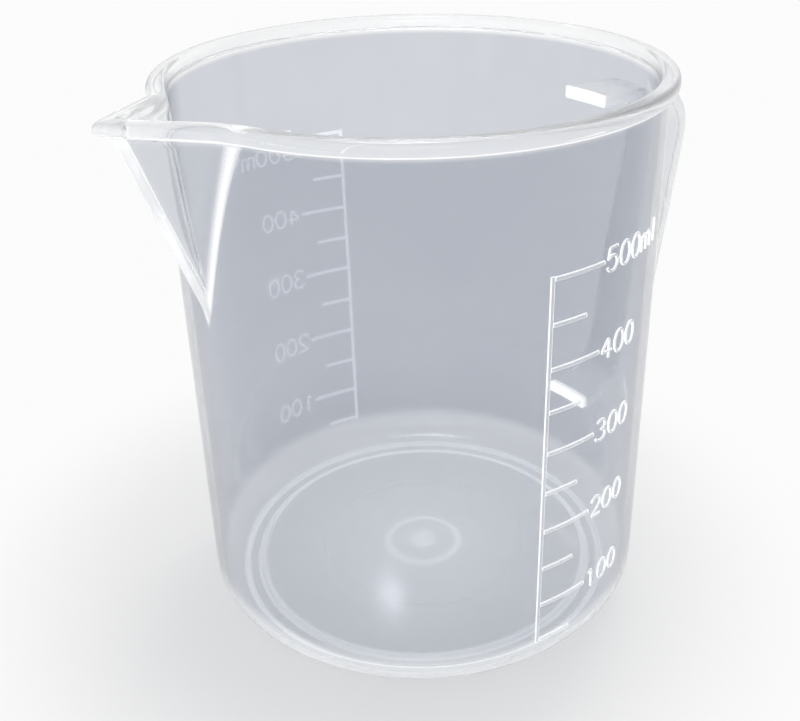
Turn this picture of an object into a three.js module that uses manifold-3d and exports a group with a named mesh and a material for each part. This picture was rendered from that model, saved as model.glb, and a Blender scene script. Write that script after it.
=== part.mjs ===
// Measuring cup for half a litre: a tapered translucent plastic cup with a V spout, an ear handle
// and two raised scales. Millimetres, +Z up, standing at z = 0, spout towards -X, handle towards +X.

import * as THREE from "three";
import { ConvexGeometry } from "three/addons/geometries/ConvexGeometry.js";
import { mergeVertices } from "three/addons/utils/BufferGeometryUtils.js";
import Module from "manifold-3d";

// Driving dimensions of the cup
const cupHeight = 108.5; // table to the top of the rim
const wallTopRadius = 46.3; // outside of the wall, measured at the top of the rim
const wallDraft = 1; // how much the wall narrows from there to the table
const wallThickness = 1.5;
const floorThickness = 1.3;
const cornerRadius = 5.8; // outside, between the wall and the floor

// Foot ring and the gate mark under the floor
const footWidth = 3.8;
const footHeight = 0.8;
const footDraft = 0.5; // how much each side of the ring leans in
const gateRecessRadius = 8;
const gateRecessDepth = 0.4;
const gateButtonRadius = 2.4;
const gateNubRadius = 0.9;
const gateStep = 0.3; // thickness of the button, and again of the nub on it

// Rim bead
const beadHeight = 2.9;
const beadOverhang = 1.6; // how far the bead stands out from the wall
const rimThickening = 0.4; // the wall grows inwards by this much as it nears the bead
const thickeningHeight = 18;

// Pouring spout
const spoutOverhang = 13.6; // wall to the outer fold, at the top of the rim
const spoutDepth = 39; // top of the rim down to where the fold runs out into the wall
const spoutHalfAngle = 17; // degrees from -X to where a side leaves the rim
const lipBlendAngle = 9; // degrees of rim taken up by the hollow curve into the spout
const lipRounding = 1.2; // length of each side taken up by the lip's rounded tip

// Handle, a flat strap along a path with two rounded corners
const strapThickness = 2.6;
const armWidth = 11.7; // where the strap meets the wall
const gripWidth = 14.8; // just below the upper bend
const upperArmDepth = 11.1; // underside of the bead down to the middle of the strap
const upperArmDroop = 1; // fall of the upper arm on its way out to the corner
const lowerArmHeight = 22.4; // table to the middle of the strap
const upperCornerGap = 24.7; // wall to the corner that the upper bend rounds off
const lowerCornerGap = 10.9;
const upperBend = 9.5; // radius of the strap's middle
const lowerBend = 11.5;

// Raised scales
const markCount = 10; // from 50 to 500 millilitres
const firstMarkHeight = 8.4; // above the table
const lastMarkDepth = 22.2; // below the bead
const lineWidth = 0.9;
const markRelief = 0.4; // how far the marks stand out from the wall
const longMark = 11.6; // at every second step
const shortMark = 7.9;
const frontScaleAngle = -92.8; // degrees round from +X to the middle of the long marks
const rearScaleAngle = 81.5;

// Fits between neighbours
const seatGap = 0.2; // where a piece is cut to the round wall
const reliefGap = 0.05; // under the raised marks
const cutMargin = 1; // how far a cutting shape runs past what it cuts

// Smoothness
const roundSegments = 72;
const cornerSegments = 6;
const bendSegments = 10;
const blendSegments = 6;

// Derived levels and sizes
const degree = Math.PI / 180;
const wallSeat = footHeight + cornerRadius;
const rimSeat = cupHeight - beadHeight;
const floorTop = footHeight + floorThickness;
const wallRadius = (z) => wallTopRadius - wallDraft * (1 - z / cupHeight);
const footRadius = wallRadius(wallSeat) - cornerRadius;
const beadRounding = 0.4 * beadHeight;
const channelRounding = lipRounding + 2 * beadRounding;
const spoutReach = wallTopRadius + spoutOverhang;
const spoutFootHeight = cupHeight - spoutDepth;
const spoutAngle = spoutHalfAngle * degree;
const upperArmHeight = rimSeat - upperArmDepth;
const upperCornerReach = wallTopRadius + upperCornerGap;
const lowerCornerReach = wallTopRadius + lowerCornerGap;
const lastMarkHeight = rimSeat - lastMarkDepth;

const plastic = new THREE.MeshStandardMaterial({
  name: "natural polypropylene",
  color: 0xdfe3ea,
  roughness: 0.22,
  metalness: 0,
  transparent: true,
  opacity: 0.45,
});

const strapPlastic = new THREE.MeshStandardMaterial({
  name: "thick polypropylene",
  color: 0xf1f1ee,
  roughness: 0.3,
  metalness: 0,
  transparent: true,
  opacity: 0.8,
});

// Solids from three.js geometry, for joining and cutting

const wasm = await Module();
wasm.setup();

function solidFrom(geometry) {
  const bare = geometry.index ? geometry.toNonIndexed() : geometry.clone();
  bare.deleteAttribute("normal");
  bare.deleteAttribute("uv");
  const merged = mergeVertices(bare);
  const mesh = new wasm.Mesh({
    numProp: 3,
    vertProperties: merged.attributes.position.array,
    triVerts: new Uint32Array(merged.index.array),
  });
  return new wasm.Manifold(mesh);
}

function geometryFrom(solid) {
  const mesh = solid.getMesh();
  const geometry = new THREE.BufferGeometry();
  geometry.setAttribute("position", new THREE.BufferAttribute(mesh.vertProperties, 3));
  geometry.setIndex(new THREE.BufferAttribute(mesh.triVerts, 1));
  geometry.computeVertexNormals();
  return geometry;
}

// A profile of [radius, height] points, turned about +Z. It runs up the outside and down the inside.
function turned(profile, segments = roundSegments) {
  const points = profile.map(([radius, height]) => new THREE.Vector2(radius, height));
  return new THREE.LatheGeometry(points, segments).rotateX(Math.PI / 2);
}

function turnedRing(profile, segments = roundSegments) {
  return turned([...profile, profile[0]], segments);
}

// A flat outline raised straight up from one height to another.
function raised(shape, low, high) {
  const options = { depth: high - low, bevelEnabled: false };
  return new THREE.ExtrudeGeometry(shape, options).translate(0, 0, low);
}

// Everything inside the wall's outer surface, grown by a gap: pieces that join the wall are cut by it.
function insideOfWall(gap) {
  const low = -cutMargin;
  const high = cupHeight + cutMargin;
  return solidFrom(
    turned([
      [0, low],
      [wallRadius(low) + gap, low],
      [wallRadius(high) + gap, high],
      [0, high],
    ]),
  );
}

// Cup floor: underside with the gate recess, rounded corner, and the inside of both
function makeCupFloor() {
  const outside = wallRadius(wallSeat);
  const turnRadius = outside - cornerRadius;
  const profile = [
    [0, footHeight + gateRecessDepth],
    [gateRecessRadius - gateRecessDepth, footHeight + gateRecessDepth],
    [gateRecessRadius, footHeight],
  ];
  for (let step = 0; step <= cornerSegments; step += 1) {
    const turn = (step / cornerSegments) * (Math.PI / 2);
    const radius = turnRadius + cornerRadius * Math.sin(turn);
    profile.push([radius, wallSeat - cornerRadius * Math.cos(turn)]);
  }
  for (let step = cornerSegments; step >= 0; step -= 1) {
    const turn = (step / cornerSegments) * (Math.PI / 2);
    const radius = turnRadius + (cornerRadius - wallThickness) * Math.sin(turn);
    profile.push([radius, wallSeat - (cornerRadius - floorThickness) * Math.cos(turn)]);
  }
  profile.push([0, floorTop]);
  return turned(profile);
}

function makeFootRing() {
  const inner = footRadius - footWidth;
  return turnedRing([
    [inner + footDraft, 0],
    [footRadius - footDraft, 0],
    [footRadius, footHeight],
    [inner, footHeight],
  ]);
}

function makeGateNub() {
  const ceiling = footHeight + gateRecessDepth;
  const profile = [
    [0, ceiling - 2 * gateStep],
    [gateNubRadius, ceiling - 2 * gateStep],
    [gateNubRadius, ceiling - gateStep],
    [gateButtonRadius, ceiling - gateStep],
    [gateButtonRadius, ceiling],
    [0, ceiling],
  ];
  return turned(profile, roundSegments / 3);
}

// Spout: the fold leans out in a straight line, and both sides keep one direction seen from above
const spoutSide = new THREE.Vector2(
  spoutReach - wallTopRadius * Math.cos(spoutAngle),
  wallTopRadius * Math.sin(spoutAngle),
).normalize();

const foldReach = (z) =>
  THREE.MathUtils.mapLinear(
    z,
    spoutFootHeight,
    cupHeight,
    wallRadius(spoutFootHeight),
    spoutReach,
  );

// How far the inner fold lies behind the outer one, so that each side is one wall thick.
function foldDepth() {
  const lean = (spoutReach - wallRadius(spoutFootHeight)) / (cupHeight - spoutFootHeight);
  const normal = new THREE.Vector3(-lean, 0, 1);
  normal.cross(new THREE.Vector3(spoutSide.x, spoutSide.y, 0)).normalize();
  return wallThickness / Math.abs(normal.x);
}

// The wedge of space in front of the axis and between the two sides, its fold set back by an inset.
function spoutWedge(inset, high) {
  const low = spoutFootHeight - cutMargin;
  const corners = [];
  for (const z of [low, high]) {
    const tip = foldReach(z) - inset;
    const root = wallRadius(z) - 2 * cornerRadius;
    const half = ((tip - root) * spoutSide.y) / spoutSide.x;
    corners.push(new THREE.Vector3(-tip, 0, z));
    corners.push(new THREE.Vector3(-root, half, z));
    corners.push(new THREE.Vector3(-root, -half, z));
  }
  return solidFrom(new ConvexGeometry(corners));
}

// Wall: straight outside, and inside growing thicker in a soft curve up to the bead
function makeCupWall() {
  const profile = [
    [wallRadius(wallSeat), wallSeat],
    [wallRadius(rimSeat), rimSeat],
  ];
  for (let step = 0; step <= blendSegments; step += 1) {
    const down = step / blendSegments;
    const z = rimSeat - thickeningHeight * down;
    const growth = rimThickening * (1 - down) ** 2;
    profile.push([wallRadius(z) - wallThickness - growth, z]);
  }
  profile.push([wallRadius(wallSeat) - wallThickness, wallSeat]);
  const channel = spoutWedge(foldDepth(), rimSeat + cutMargin);
  return geometryFrom(solidFrom(turnedRing(profile)).subtract(channel));
}

function makePouringSpout() {
  const outside = spoutWedge(0, rimSeat);
  const channel = spoutWedge(foldDepth(), rimSeat + cutMargin);
  return geometryFrom(outside.subtract(channel).subtract(insideOfWall(seatGap)));
}

// The rim seen from above: a circle that runs out into a V whose fold lies at a given reach, all moved
// out by an outset, with the tip of the V rounded over a length of its sides
function rimOutline(outset, reach, rounding) {
  const radius = wallTopRadius + outset;
  const tip = new THREE.Vector2(-(reach + outset / spoutSide.y), 0);
  const start = Math.PI - spoutAngle - lipBlendAngle * degree;
  const onRim = new THREE.Vector2(Math.cos(start), Math.sin(start)).multiplyScalar(radius);
  const alongRim = new THREE.Vector2(-Math.sin(start), Math.cos(start));

  // Where the rim's tangent meets the side of the V
  const apart = tip.clone().sub(onRim);
  const run = apart.cross(spoutSide) / alongRim.cross(spoutSide);
  const meeting = onRim.clone().addScaledVector(alongRim, run);
  const onSide = meeting.clone().addScaledVector(spoutSide, -run);
  const beforeTip = tip.clone().addScaledVector(spoutSide, rounding);
  const mirrored = (point) => new THREE.Vector2(point.x, -point.y);

  const round = new THREE.EllipseCurve(0, 0, radius, radius, -start, start);
  const blend = new THREE.QuadraticBezierCurve(onRim, meeting, onSide);
  const nose = new THREE.QuadraticBezierCurve(beforeTip, tip, mirrored(beforeTip));
  const blendPoints = blend.getPoints(blendSegments);
  return [
    ...round.getPoints(roundSegments).slice(0, -1),
    ...blendPoints,
    ...nose.getPoints(blendSegments),
    ...blendPoints.map(mirrored).reverse().slice(0, -1),
  ];
}

// The whole bead, with rounded edges, before it is shared between the rim and the lip.
function wholeBead() {
  const innerOutset = beadRounding - wallThickness - rimThickening;
  const outside = rimOutline(beadOverhang - beadRounding, spoutReach, lipRounding);
  const inside = rimOutline(innerOutset, foldReach(rimSeat), channelRounding);
  const shape = new THREE.Shape(outside);
  shape.holes.push(new THREE.Path(inside));
  const bead = new THREE.ExtrudeGeometry(shape, {
    depth: beadHeight - 2 * beadRounding,
    bevelThickness: beadRounding,
    bevelSize: beadRounding,
    bevelSegments: 2,
  });
  return solidFrom(bead.translate(0, 0, rimSeat + beadRounding));
}

// A slice of the mouth about -X, out to past the lip, that holds the lip and its blends into the rim.
function lipSlice(gap) {
  const halfAngle = spoutAngle + lipBlendAngle * degree;
  const length = 2 * spoutReach;
  const width = length * Math.tan(halfAngle);
  const shape = new THREE.Shape();
  shape.moveTo(gap / Math.sin(halfAngle), 0);
  shape.lineTo(-length, width);
  shape.lineTo(-length, -width);
  return solidFrom(raised(shape, rimSeat - cutMargin, cupHeight + cutMargin));
}

function makeRimBead() {
  return geometryFrom(wholeBead().subtract(lipSlice(seatGap)));
}

function makeSpoutLip() {
  return geometryFrom(wholeBead().intersect(lipSlice(0)));
}

// Points of the strap's middle in the x-z plane, with the two corners rounded off
function roundedCorner(before, corner, after, radius) {
  const towardsBefore = before.clone().sub(corner).normalize();
  const towardsAfter = after.clone().sub(corner).normalize();
  const halfOpening = Math.acos(towardsBefore.dot(towardsAfter)) / 2;
  const bisector = towardsBefore.clone().add(towardsAfter).normalize();
  const centre = corner.clone().addScaledVector(bisector, radius / Math.sin(halfOpening));
  const first = corner.clone().addScaledVector(towardsBefore, radius / Math.tan(halfOpening));
  const last = corner.clone().addScaledVector(towardsAfter, radius / Math.tan(halfOpening));
  const startAngle = first.sub(centre).angle();
  const wholeTurn = last.sub(centre).angle() - startAngle;
  const turn = THREE.MathUtils.euclideanModulo(wholeTurn + Math.PI, 2 * Math.PI) - Math.PI;
  const points = [];
  for (let step = 0; step <= bendSegments; step += 1) {
    const angle = startAngle + (turn * step) / bendSegments;
    const arm = new THREE.Vector2(Math.cos(angle), Math.sin(angle));
    points.push(centre.clone().addScaledVector(arm, radius));
  }
  return points;
}

function strapMiddle() {
  const root = wallTopRadius - armWidth;
  const upperRoot = new THREE.Vector2(root, upperArmHeight);
  const upperCorner = new THREE.Vector2(upperCornerReach, upperArmHeight - upperArmDroop);
  const lowerCorner = new THREE.Vector2(lowerCornerReach, lowerArmHeight);
  const lowerRoot = new THREE.Vector2(root, lowerArmHeight);
  return [
    upperRoot,
    ...roundedCorner(upperRoot, upperCorner, lowerCorner, upperBend),
    ...roundedCorner(upperCorner, lowerCorner, lowerRoot, lowerBend),
    lowerRoot,
  ];
}

function strapSide(offset) {
  const middle = strapMiddle();
  return middle.map((point, index) => {
    const before = middle[Math.max(index - 1, 0)];
    const after = middle[Math.min(index + 1, middle.length - 1)];
    const along = after.clone().sub(before).normalize();
    return new THREE.Vector2(point.x - along.y * offset, point.y + along.x * offset);
  });
}

// The strap seen along X: narrow at its arms, widest just below the upper bend.
function strapFront() {
  const widestHeight = upperArmHeight - upperBend - strapThickness;
  const top = upperArmHeight + strapThickness;
  const foot = lowerArmHeight - strapThickness;
  const outline = [
    [armWidth / 2, foot],
    [armWidth / 2, lowerArmHeight],
    [gripWidth / 2, widestHeight],
    [armWidth / 2, upperArmHeight - strapThickness / 2],
    [armWidth / 2, top],
  ];
  const right = outline.map(([across, height]) => new THREE.Vector2(across, height));
  const left = outline.map(([across, height]) => new THREE.Vector2(-across, height));
  return new THREE.Shape([...right, ...left.reverse()]);
}

function makeHandle() {
  const outer = strapSide(strapThickness / 2);
  const inner = strapSide(-strapThickness / 2);
  const profile = raised(new THREE.Shape([...inner, ...outer.reverse()]), -gripWidth, gripWidth);
  const strap = solidFrom(profile.rotateX(Math.PI / 2));
  const front = raised(strapFront(), 0, 2 * upperCornerReach);
  front.rotateX(Math.PI / 2).rotateZ(Math.PI / 2);
  return geometryFrom(strap.intersect(solidFrom(front)).subtract(insideOfWall(seatGap)));
}

// Scale outline laid flat: an upright line with marks to its right, long at every second step
function scaleOutline() {
  const pitch = (lastMarkHeight - firstMarkHeight) / (markCount - 1);
  const heights = Array.from({ length: markCount }, (_, index) => firstMarkHeight + index * pitch);
  const half = lineWidth / 2;
  const left = -longMark / 2;
  const toothed = heights.flatMap((height, index) => {
    const length = index % 2 === 1 ? longMark : shortMark;
    return [
      new THREE.Vector2(left + lineWidth, height - half),
      new THREE.Vector2(left + length, height - half),
      new THREE.Vector2(left + length, height + half),
      new THREE.Vector2(left + lineWidth, height + half),
    ];
  });

  // The first and last marks are the ends of the line, so they have no corner on it there
  return new THREE.Shape([
    new THREE.Vector2(left, heights[0] - half),
    ...toothed.slice(1, -1),
    new THREE.Vector2(left, heights.at(-1) + half),
  ]);
}

// The outline wrapped onto the wall, as a skin standing out by the relief.
function makeScale(angle) {
  const inner = (z) => wallRadius(z) + reliefGap;
  const skin = turnedRing([
    [inner(floorTop), floorTop],
    [inner(floorTop) + markRelief, floorTop],
    [inner(rimSeat) + markRelief, rimSeat],
    [inner(rimSeat), rimSeat],
  ]);
  const comb = raised(scaleOutline(), wallTopRadius / 2, 2 * wallTopRadius);
  comb.rotateX(Math.PI / 2).rotateZ((angle + 90) * degree);
  return geometryFrom(solidFrom(skin).intersect(solidFrom(comb)));
}

function named(name, geometry, material) {
  const mesh = new THREE.Mesh(geometry, material);
  mesh.name = name;
  return mesh;
}

// The cup stands with the middle of its whole length over the origin.
const cup = new THREE.Group();
cup.add(
  named("cup_floor", makeCupFloor(), plastic),
  named("foot_ring", makeFootRing(), plastic),
  named("gate_nub", makeGateNub(), plastic),
  named("cup_wall", makeCupWall(), plastic),
  named("rim_bead", makeRimBead(), plastic),
  named("pouring_spout", makePouringSpout(), plastic),
  named("spout_lip", makeSpoutLip(), plastic),
  named("handle", makeHandle(), strapPlastic),
  named("front_scale", makeScale(frontScaleAngle), plastic),
  named("rear_scale", makeScale(rearScaleAngle), plastic),
);
const box = new THREE.Box3().setFromObject(cup);
cup.position.x = -(box.min.x + box.max.x) / 2;

const measuringCup = new THREE.Group();
measuringCup.add(cup);

export default measuringCup;
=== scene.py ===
import math

import bpy
from mathutils import Matrix, Vector


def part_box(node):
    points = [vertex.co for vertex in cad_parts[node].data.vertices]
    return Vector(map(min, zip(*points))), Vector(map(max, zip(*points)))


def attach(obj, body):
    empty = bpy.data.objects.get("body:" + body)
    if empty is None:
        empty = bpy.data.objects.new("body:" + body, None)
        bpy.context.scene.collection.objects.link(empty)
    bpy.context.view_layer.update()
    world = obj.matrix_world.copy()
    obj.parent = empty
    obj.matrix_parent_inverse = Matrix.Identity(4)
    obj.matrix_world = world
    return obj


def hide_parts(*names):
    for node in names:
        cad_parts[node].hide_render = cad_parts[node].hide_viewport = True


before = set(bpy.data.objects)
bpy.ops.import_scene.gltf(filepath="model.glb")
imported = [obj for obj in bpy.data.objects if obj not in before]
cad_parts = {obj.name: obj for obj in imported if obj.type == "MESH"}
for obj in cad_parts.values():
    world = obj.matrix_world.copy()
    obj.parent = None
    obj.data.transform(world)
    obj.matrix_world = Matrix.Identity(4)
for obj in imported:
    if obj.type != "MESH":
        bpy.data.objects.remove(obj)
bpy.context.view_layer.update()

# Cup shell: floor, foot ring, gate mark, wall, rim bead and spout are one injection moulding of natural
# polypropylene, so they are one skin here. Its profile is turned about the cup's axis, and the spout is
# pulled out of the turned wall as two flat sides that meet in a fold.

mm = 0.001
foot_low, foot_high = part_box("foot_ring")
floor_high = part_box("cup_floor")[1]
wall_low, wall_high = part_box("cup_wall")
bead_low, bead_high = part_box("rim_bead")
lip_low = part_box("spout_lip")[0]

axis_x = (foot_low.x + foot_high.x) / 2
foot_radius = foot_high.y
rim_top = bead_high.z
rim_seat = bead_low.z
wall_seat = wall_low.z
bead_radius = bead_high.y
wall_lean = (wall_high.y - floor_high.y) / (rim_seat - wall_seat)
wall_thickness = 1.5 * mm
rim_thickening = 0.4 * mm
thickening_height = 18 * mm
floor_thickness = 1.3 * mm
spout_foot = 71.5 * mm
spout_slope = 1.154
fold_softness = 0.014
fold_thickness = 2.35 * mm


def wall_radius(height):
    return floor_high.y + wall_lean * (height - wall_seat)


def softened(corners, steps=5):
    """The points of a profile whose corners are rounded off over the length given with each."""
    points = []
    for index, (radius, height, length) in enumerate(corners):
        here = Vector((radius, height))
        if length == 0:
            points.append(here)
            continue
        before = Vector(corners[index - 1][:2])
        after = Vector(corners[index + 1][:2])
        start = here + (before - here).normalized() * length
        end = here + (after - here).normalized() * length
        for step in range(steps + 1):
            part = step / steps
            points.append(start.lerp(here, part).lerp(here.lerp(end, part), part))
    return points


def levels(low, high, spacing):
    count = max(1, round((high - low) / spacing))
    return [low + (high - low) * index / count for index in range(count + 1)]


underside = foot_high.z
gate_ceiling = underside + 0.4 * mm
corner_radius = wall_seat - underside
foot_inner = foot_radius - 3.8 * mm
gate_radius = 2.4 * mm
gate_drop = 0.3 * mm
tip_radius = 0.9 * mm
tip_drop = 0.6 * mm
recess_radius = 8.0 * mm
recess_slope = 0.4 * mm
flat_margin = 0.8 * mm
below = softened(
    [
        (0, gate_ceiling - tip_drop, 0),
        (tip_radius, gate_ceiling - tip_drop, 0.2 * mm),
        (tip_radius, gate_ceiling - gate_drop, 0.08 * mm),
        (gate_radius, gate_ceiling - gate_drop, 0.14 * mm),
        (gate_radius, gate_ceiling, 0.1 * mm),
        (gate_radius + flat_margin, gate_ceiling, 0),
        (recess_radius - recess_slope - flat_margin, gate_ceiling, 0),
        (recess_radius - recess_slope, gate_ceiling, 0.2 * mm),
        (recess_radius, underside, 0.2 * mm),
        (recess_radius + flat_margin, underside, 0),
        (foot_inner - 1.2 * mm, underside, 0),
        (foot_inner, underside, 0.3 * mm),
        (foot_inner + 0.5 * mm, 0, 0.25 * mm),
        (foot_inner + 1.5 * mm, 0, 0),
        (foot_radius - 1.5 * mm, 0, 0),
        (foot_radius - 0.5 * mm, 0, 0.25 * mm),
        (foot_radius, underside, 0.2 * mm),
        (foot_radius + 1 * mm, underside, 0),
    ]
)[:-1]

corner_steps = 14
quarter = [math.pi / 2 * step / corner_steps for step in range(1, corner_steps + 1)]
outer_corner = [
    Vector((foot_radius + corner_radius * math.sin(turn), wall_seat - corner_radius * math.cos(turn)))
    for turn in quarter
]
inner_corner = [
    Vector(
        (
            foot_radius + (corner_radius - wall_thickness) * math.sin(turn),
            wall_seat - (corner_radius - floor_thickness) * math.cos(turn),
        )
    )
    for turn in quarter
]

# Levels of the wall, closer together beside the handle's lower root and up the spout
spout_zone = spout_foot - 4 * mm
strap_thickness = 2.6 * mm
handle_low, handle_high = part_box("handle")
upper_arm = handle_high.z - strap_thickness / 2 + 0.3 * mm
lower_arm = handle_low.z + strap_thickness / 2
wall_levels = levels(wall_seat, lower_arm - 4 * mm, 3 * mm)[1:]
wall_levels += levels(wall_levels[-1], lower_arm + 9 * mm, 1.2 * mm)[1:]
wall_levels += levels(wall_levels[-1], spout_zone, 4 * mm)[1:]
wall_levels += levels(spout_zone, rim_seat, 0.9 * mm)[1:-1]


def inner_radius(height):
    near_rim = max(0, 1 - (rim_seat - height) / thickening_height)
    return wall_radius(height) - wall_thickness - rim_thickening * near_rim**2


outer_wall = [Vector((wall_radius(height), height)) for height in wall_levels]
inner_wall = [Vector((inner_radius(height), height)) for height in reversed(wall_levels)]
bead_inside = inner_radius(rim_seat)
bead_round = 1.3 * mm
bead = softened(
    [
        (outer_wall[-1].x, outer_wall[-1].y, 0),
        (wall_radius(rim_seat), rim_seat, 0.25 * mm),
        (bead_radius, rim_seat, bead_round),
        (bead_radius, rim_top, bead_round),
        (bead_inside, rim_top, bead_round),
        (bead_inside, rim_seat, 0),
    ],
    steps=7,
)[1:]

# Where the fold of the spout stands at each point of the profile
wall_top = wall_radius(rim_top)
lip_reach = axis_x - lip_low.x
side_share = 1 / math.sqrt(1 + spout_slope**2)
spout_reach = lip_reach - (bead_radius - wall_top) / side_share
keel_inset = 2.6 * mm
keel_top = lip_reach - keel_inset
spout_lean = (keel_top - wall_radius(spout_foot)) / (rim_seat - spout_foot)
lip_inward = 1.84


def wall_fold(height):
    return wall_radius(spout_foot) + spout_lean * (height - spout_foot)


def bead_fold(radius):
    outset = radius - wall_top
    return spout_reach + outset / side_share if outset > 0 else spout_reach + outset * lip_inward


floor_top = underside + floor_thickness
floor_face = [Vector((radius, floor_top)) for radius in (foot_radius, foot_radius - 1.5 * mm, 0)]
floor_milk = 0.04
corner_milk = 0.1
corner_light = 0.8
bead_milk = 0.15
lip_lift = 1.2 * mm
lip_thinning = 0.6 * mm


def near_edge(radius):
    """1 at the steps of the underside: both sides of the foot ring, and the ring and button of the gate."""
    edges = {
        foot_inner + 0.25 * mm: 0.8 * mm,
        foot_radius - 0.25 * mm: 0.8 * mm,
        recess_radius - recess_slope / 2: 0.5 * mm,
        gate_radius: 0.3 * mm,
        0: 1.0 * mm,
    }
    return 1.0 if any(abs(radius - edge) < reach for edge, reach in edges.items()) else 0.0


def lifted(height):
    """How far the spout has been drawn up at a height of its wall."""
    return lip_lift * max(0, height - spout_foot) / (rim_seat - spout_foot)


# What each point of the profile carries round the cup: the reach of the fold, the hollow curve beside it,
# how much paler the plastic is painted where light gathers, how milky it looks (milky places also carry a
# painted glow), how far the lip is drawn up, and how much the fold shows
crease = 0.8 * mm
usual = {"fold": 0, "hollow": 0, "light": 0, "milk": 0, "lift": 0, "keel": 0}
stations = []
# The floor and bead are painted fully pale and the corners partly, for light gathered there; the
# underside's steps are milky with a painted glow
for point in below:
    stations.append({"point": point, "light": 1.0, "milk": max(floor_milk, near_edge(point.x))})
for point in outer_corner:
    stations.append({"point": point, "light": corner_light, "milk": corner_milk})
for point in outer_wall:
    stations.append(
        {
            "point": point,
            "fold": wall_fold(point.y),
            "hollow": crease,
            "lift": lifted(point.y),
            "keel": 1,
        }
    )
for point in bead:
    climb = (point.y - rim_seat) / (rim_top - rim_seat)
    stations.append(
        {
            "point": point,
            "fold": bead_fold(point.x),
            "hollow": (3 + 3 * climb) * mm,
            "light": 1.0,
            "milk": bead_milk,
            "lift": lip_lift - lip_thinning * climb,
            "keel": 0.5,
        }
    )
for point in inner_wall:
    stations.append(
        {
            "point": point,
            "fold": wall_fold(point.y) - fold_thickness,
            "hollow": crease,
            "lift": lifted(point.y),
        }
    )
for point in reversed(inner_corner):
    stations.append({"point": point, "light": corner_light, "milk": corner_milk})
for point in floor_face:
    stations.append({"point": point, "light": 1.0, "milk": floor_milk})

profile_mesh = bpy.data.meshes.new("cup_profile")
profile_mesh.from_pydata([(stop["point"].x, 0, stop["point"].y) for stop in stations], [], [])
for name, plain in usual.items():
    values = profile_mesh.attributes.new(name, "FLOAT", "POINT")
    values.data.foreach_set("value", [max(0, stop.get(name, plain)) for stop in stations])


def feed(tree, socket, value):
    if isinstance(value, bpy.types.NodeSocket):
        tree.links.new(value, socket)
    else:
        socket.default_value = value


def add_node(tree, kind, values=None, **settings):
    node = tree.nodes.new(kind)
    for name, value in settings.items():
        setattr(node, name, value)
    for name, value in (values or {}).items():
        feed(tree, node.inputs[name], value)
    return node


def calc(tree, operation, *values):
    node = tree.nodes.new("ShaderNodeMath")
    node.operation = operation
    for socket, value in zip(node.inputs, values):
        feed(tree, socket, value)
    return node.outputs[0]


def new_tree(name, inputs):
    """A geometry tree with named inputs, its input node and the identifier of each input."""
    tree = bpy.data.node_groups.new(name, "GeometryNodeTree")
    sockets = {}
    for socket_name, kind in inputs.items():
        made = tree.interface.new_socket(name=socket_name, in_out="INPUT", socket_type="NodeSocket" + kind)
        sockets[socket_name] = made.identifier
    tree.interface.new_socket(name="Geometry", in_out="OUTPUT", socket_type="NodeSocketGeometry")
    return tree, tree.nodes.new("NodeGroupInput").outputs, sockets


def close_tree(tree, geometry, material):
    """Ends a tree as a real mesh with its material."""
    real = add_node(tree, "GeometryNodeRealizeInstances", {"Geometry": geometry})
    dressed = add_node(
        tree, "GeometryNodeSetMaterial", {"Geometry": real.outputs[0], "Material": material}
    )
    add_node(tree, "NodeGroupOutput", {"Geometry": dressed.outputs[0]})


def grown(name, mesh, tree, sockets, values):
    """A piece made by running a mesh through a tree, as a plain mesh without the modifier."""
    piece = bpy.data.objects.new(name, mesh)
    bpy.context.scene.collection.objects.link(piece)
    modifier = piece.modifiers.new("make", "NODES")
    modifier.node_group = tree
    for socket_name, value in values.items():
        modifier[sockets[socket_name]] = value
    graph = bpy.context.evaluated_depsgraph_get()
    made = bpy.data.meshes.new_from_object(piece.evaluated_get(graph))
    piece.modifiers.clear()
    piece.data = made
    made.name = name
    return piece


turned, given, turned_sockets = new_tree(
    "turned_cup_with_spout",
    {
        "Geometry": "Geometry",
        "Points Around": "Int",
        "Crowding": "Float",
        "Axis": "Float",
        "Slope": "Float",
        "Softness": "Float",
        "Lip Length": "Float",
        "Spout Light": "Float",
        "Crease Milk": "Float",
        "Floor Top": "Float",
        "Material": "Material",
    },
)
profile = given["Geometry"]
size_of_profile = add_node(turned, "GeometryNodeAttributeDomainSize", {"Geometry": profile})
along_count = size_of_profile.outputs["Point Count"]
sheet = add_node(
    turned,
    "GeometryNodeMeshGrid",
    {
        "Vertices X": calc(turned, "ADD", given["Points Around"], 1),
        "Vertices Y": along_count,
    },
)
vertex = turned.nodes.new("GeometryNodeInputIndex").outputs[0]
along = calc(turned, "MODULO", vertex, along_count)
around = calc(turned, "FLOOR", calc(turned, "DIVIDE", vertex, along_count))


def from_profile(kind, value):
    sample = add_node(
        turned, "GeometryNodeSampleIndex", {"Geometry": profile, "Index": along}, data_type=kind
    )
    feed(turned, sample.inputs["Value"], value)
    return sample.outputs["Value"]


def stored(name):
    named = add_node(turned, "GeometryNodeInputNamedAttribute", {"Name": name}, data_type="FLOAT")
    return named.outputs["Attribute"]


place = turned.nodes.new("GeometryNodeInputPosition").outputs[0]
station = add_node(turned, "ShaderNodeSeparateXYZ", {"Vector": from_profile("FLOAT_VECTOR", place)})
fold, hollow, light, milk, lift, keel = [from_profile("FLOAT", stored(name)) for name in usual]

# The turn runs from the handle round to the handle, with its points crowded towards the spout
share = calc(turned, "DIVIDE", around, given["Points Around"])
even_turn = calc(turned, "MULTIPLY", calc(turned, "SUBTRACT", share, 0.5), 2 * math.pi)
crowd = calc(turned, "MULTIPLY", given["Crowding"], calc(turned, "SINE", even_turn))
turn = calc(turned, "SUBTRACT", even_turn, crowd)

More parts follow.
